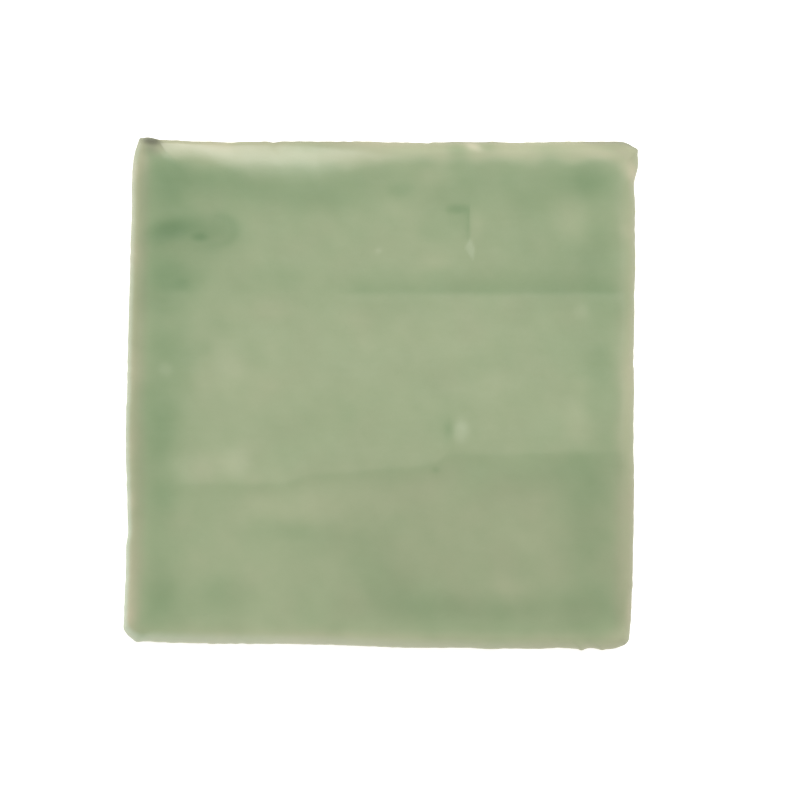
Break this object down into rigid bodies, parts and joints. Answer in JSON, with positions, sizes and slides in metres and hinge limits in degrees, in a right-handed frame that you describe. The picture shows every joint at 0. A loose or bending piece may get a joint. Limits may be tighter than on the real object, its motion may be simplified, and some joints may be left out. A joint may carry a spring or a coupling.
{
  "type": "wall tile",
  "caption": "Hand-made square wall tile in sage-green glazed earthenware, with rolled glazed edges, a softly waved face and a flat unglazed back for tile adhesive.",
  "frame": {"origin": "centre of the flat back face, which is the tile's lowest face as stored", "axes": "+X to the tile's right and +Y to its head as it hangs on a wall; +Z out of the glazed face"},
  "size_m": [0.1006, 0.1005, 0.0099],
  "materials": {
    "sage_glaze": "gloss"
  },
  "bodies": {
    "root": {"wall_tile": "sage_glaze"}
  },
  "joints": []
}
